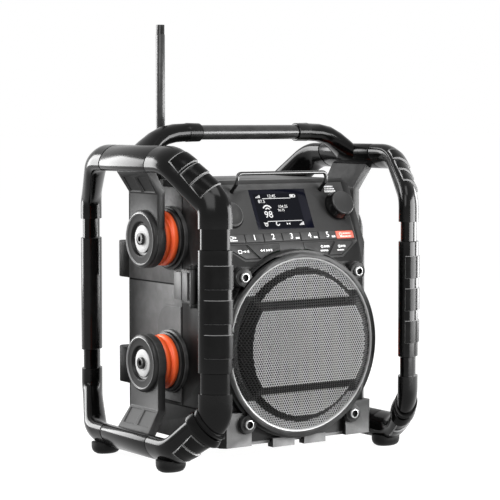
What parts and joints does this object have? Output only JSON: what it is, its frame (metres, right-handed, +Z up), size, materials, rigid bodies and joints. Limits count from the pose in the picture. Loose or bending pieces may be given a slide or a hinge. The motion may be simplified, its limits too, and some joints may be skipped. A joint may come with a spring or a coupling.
{
  "type": "jobsite radio",
  "caption": "Jobsite radio: cabinet with round speaker, tilted control panel and fold-down antenna, hung on rubber mounts inside a tubular roll cage with a carrying handle.",
  "frame": {"origin": "on the floor, midway between the left and right frames and midway between the front and rear posts", "axes": "+Z up, -Y towards the front with the speaker, +X to the right as seen from the front"},
  "size_m": [0.308, 0.2683, 0.4459],
  "materials": {
    "cage_tube": "satin black tube",
    "black_rubber": "matte rubber",
    "grey_arm": "fine texture",
    "orange_rubber": "matte rubber",
    "washer_aluminium": "brushed",
    "screw_steel": "black oxide",
    "bright_screw": "polished",
    "housing_plastic": "fine texture",
    "skirt_plastic": "coarse texture",
    "panel_plastic": "fine texture",
    "key_plastic": "satin",
    "power_key_plastic": "satin",
    "display_glass": "polished",
    "display_body": "satin",
    "board_laminate": "solder mask",
    "bright_wire": "gloss black",
    "knob_plastic": "satin",
    "shaft_steel": "turned",
    "grille_metal": "powder coat",
    "ring_plastic": "gloss black",
    "driver_metal": "satin black",
    "cone_paper": "paper cone",
    "cell_jacket": "printed sleeve",
    "antenna_black": "satin black"
  },
  "bodies": {
    "radio": {"left_front_post": "cage_tube", "right_front_post": "cage_tube", "left_upper_front_corner": "cage_tube", "right_upper_front_corner": "cage_tube", "left_lower_front_corner": "cage_tube", "right_lower_front_corner": "cage_tube", "left_rear_post": "cage_tube", "right_rear_post": "cage_tube", "left_handle_bracket": "cage_tube", "right_handle_bracket": "cage_tube", "left_bottom_rail": "cage_tube", "right_bottom_rail": "cage_tube", "handle_bar": "cage_tube", "cage_feet": "black_rubber", "left_upper_arm": "grey_arm", "left_lower_arm": "grey_arm", "right_upper_arm": "grey_arm", "right_lower_arm": "grey_arm", "end_discs": "black_rubber", "rubber_isolators": "orange_rubber", "disc_washers": "washer_aluminium", "disc_bolts": "screw_steel", "isolator_flanges": "black_rubber", "front_housing": "housing_plastic", "rear_housing": "housing_plastic", "battery_housing": "housing_plastic", "base_skirt": "skirt_plastic", "rear_bumpers": "black_rubber", "battery_cells": "cell_jacket", "control_panel": "panel_plastic", "display_lens": "display_glass", "display_module": "display_body", "main_board": "board_laminate", "guard_bar": "bright_wire", "tuning_encoder": "shaft_steel", "speaker_grille": "grille_metal", "grille_ring": "ring_plastic", "grille_screws": "bright_screw", "speaker_frame": "driver_metal", "speaker_cone": "cone_paper"},
    "page_key": {"page_key": "key_plastic"},
    "preset_key_1": {"preset_key_1": "key_plastic"},
    "preset_key_2": {"preset_key_2": "key_plastic"},
    "preset_key_3": {"preset_key_3": "key_plastic"},
    "preset_key_4": {"preset_key_4": "key_plastic"},
    "preset_key_5": {"preset_key_5": "key_plastic"},
    "power_key": {"power_key": "power_key_plastic"},
    "source_key": {"source_key": "key_plastic"},
    "seek_key": {"seek_key": "key_plastic"},
    "alarm_key": {"alarm_key": "key_plastic"},
    "info_key": {"info_key": "key_plastic"},
    "knob_shaft": {"knob_shaft": "shaft_steel"},
    "tuning_knob": {"tuning_knob": "knob_plastic"},
    "battery_door": {"battery_door": "housing_plastic"},
    "door_catch": {"door_catch": "knob_plastic"},
    "left_latch": {"left_latch": "knob_plastic"},
    "right_latch": {"right_latch": "knob_plastic"},
    "jack_cover": {"jack_cover": "black_rubber"},
    "antenna_base": {"antenna_base": "antenna_black"},
    "antenna_whip": {"antenna_whip": "antenna_black"}
  },
  "joints": [
    {"name": "page_key_press", "type": "slide", "parent": "radio", "child": "page_key", "axis": [0, 0.9018, -0.4321], "range_m": [0, 0.0008], "stiffness_N_per_m": 800},
    {"name": "preset_key_1_press", "type": "slide", "parent": "radio", "child": "preset_key_1", "axis": [0, 0.9018, -0.4321], "range_m": [0, 0.0008], "stiffness_N_per_m": 800},
    {"name": "preset_key_2_press", "type": "slide", "parent": "radio", "child": "preset_key_2", "axis": [0, 0.9018, -0.4321], "range_m": [0, 0.0008], "stiffness_N_per_m": 800},
    {"name": "preset_key_3_press", "type": "slide", "parent": "radio", "child": "preset_key_3", "axis": [0, 0.9018, -0.4321], "range_m": [0, 0.0008], "stiffness_N_per_m": 800},
    {"name": "preset_key_4_press", "type": "slide", "parent": "radio", "child": "preset_key_4", "axis": [0, 0.9018, -0.4321], "range_m": [0, 0.0008], "stiffness_N_per_m": 800},
    {"name": "preset_key_5_press", "type": "slide", "parent": "radio", "child": "preset_key_5", "axis": [0, 0.9018, -0.4321], "range_m": [0, 0.0008], "stiffness_N_per_m": 800},
    {"name": "power_key_press", "type": "slide", "parent": "radio", "child": "power_key", "axis": [0, 0.9018, -0.4321], "range_m": [0, 0.0008], "stiffness_N_per_m": 800},
    {"name": "source_key_press", "type": "slide", "parent": "radio", "child": "source_key", "axis": [0, 0.9018, -0.4321], "range_m": [0, 0.0008], "stiffness_N_per_m": 800},
    {"name": "seek_key_press", "type": "slide", "parent": "radio", "child": "seek_key", "axis": [0, 0.9018, -0.4321], "range_m": [0, 0.0008], "stiffness_N_per_m": 800},
    {"name": "alarm_key_press", "type": "slide", "parent": "radio", "child": "alarm_key", "axis": [0, 0.9018, -0.4321], "range_m": [0, 0.0008], "stiffness_N_per_m": 800},
    {"name": "info_key_press", "type": "slide", "parent": "radio", "child": "info_key", "axis": [0, 0.9018, -0.4321], "range_m": [0, 0.0008], "stiffness_N_per_m": 800},
    {"name": "knob_turn", "type": "hinge", "parent": "radio", "child": "knob_shaft", "pos_m": [0.0705, -0.06159, 0.25714], "axis": [0, -0.9018, 0.4321], "continuous": true},
    {"name": "knob_press", "type": "slide", "parent": "knob_shaft", "child": "tuning_knob", "axis": [0, 0.9018, -0.4321], "range_m": [0, 0.0008], "stiffness_N_per_m": 1500},
    {"name": "battery_door_hinge", "type": "hinge", "parent": "radio", "child": "battery_door", "pos_m": [0, 0.0884, 0.079], "axis": [-1, 0, 0], "range_deg": [0, 100]},
    {"name": "door_catch_slide", "type": "slide", "parent": "battery_door", "child": "door_catch", "axis": [0, 0, -1], "range_m": [0, 0.0045], "stiffness_N_per_m": 300},
    {"name": "left_latch_hinge", "type": "hinge", "parent": "radio", "child": "left_latch", "pos_m": [-0.0976, -0.0456, 0.1804], "axis": [0, 0, 1], "range_deg": [0, 100]},
    {"name": "right_latch_hinge", "type": "hinge", "parent": "radio", "child": "right_latch", "pos_m": [0.0976, -0.0456, 0.1804], "axis": [0, 0, -1], "range_deg": [0, 100]},
    {"name": "jack_cover_hinge", "type": "hinge", "parent": "radio", "child": "jack_cover", "pos_m": [0.034, 0.0866, 0.2195], "axis": [-1, 0, 0], "range_deg": [0, 110], "stiffness_Nm_per_rad": 0.002},
    {"name": "antenna_swivel", "type": "hinge", "parent": "radio", "child": "antenna_base", "pos_m": [-0.082, 0.04, 0.2864], "axis": [0, 0, 1], "range_deg": [-30, 90]},
    {"name": "antenna_fold", "type": "hinge", "parent": "antenna_base", "child": "antenna_whip", "pos_m": [-0.082, 0.04, 0.2999], "axis": [0, 1, 0], "range_deg": [0, 90]}
  ]
}
